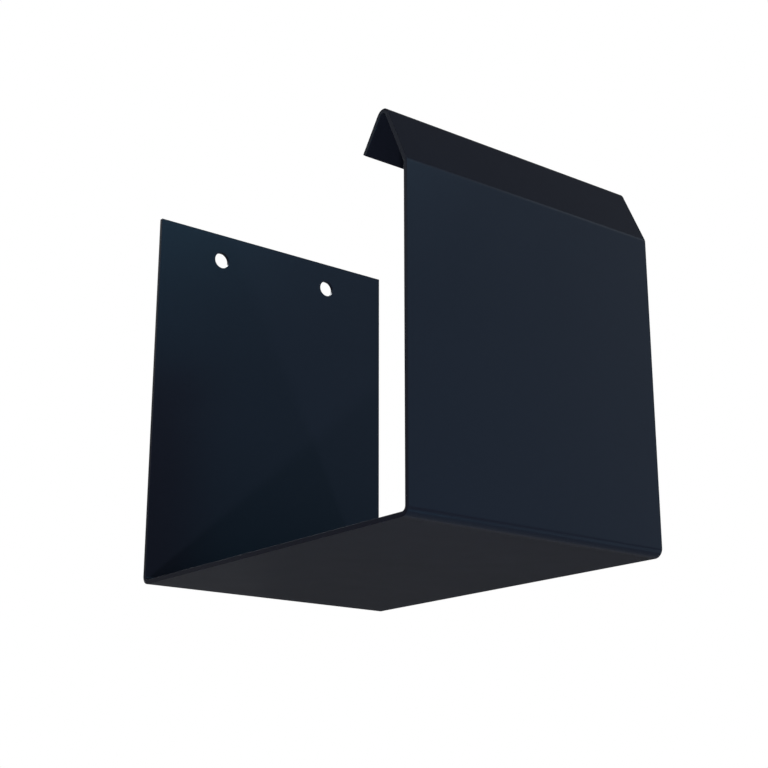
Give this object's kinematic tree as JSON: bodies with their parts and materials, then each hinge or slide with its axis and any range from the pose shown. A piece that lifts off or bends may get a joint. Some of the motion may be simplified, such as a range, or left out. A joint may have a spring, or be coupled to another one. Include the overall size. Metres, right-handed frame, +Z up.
{
  "type": "gutter joint strap",
  "caption": "Folded sheet strap that goes round the outside of a box gutter where its lengths meet: a screwed back plate, a base, a front plate, and a return with a hook for the front lip.",
  "frame": {"origin": "on the fascia face of the back plate, halfway between the two fixing holes", "axes": "+X along the gutter, +Y into the fascia board, +Z up"},
  "size_m": [0.1, 0.143, 0.134],
  "materials": {
    "powder_coated_sheet": "satin"
  },
  "bodies": {
    "root": {"joint_strap": "powder_coated_sheet"}
  },
  "joints": []
}
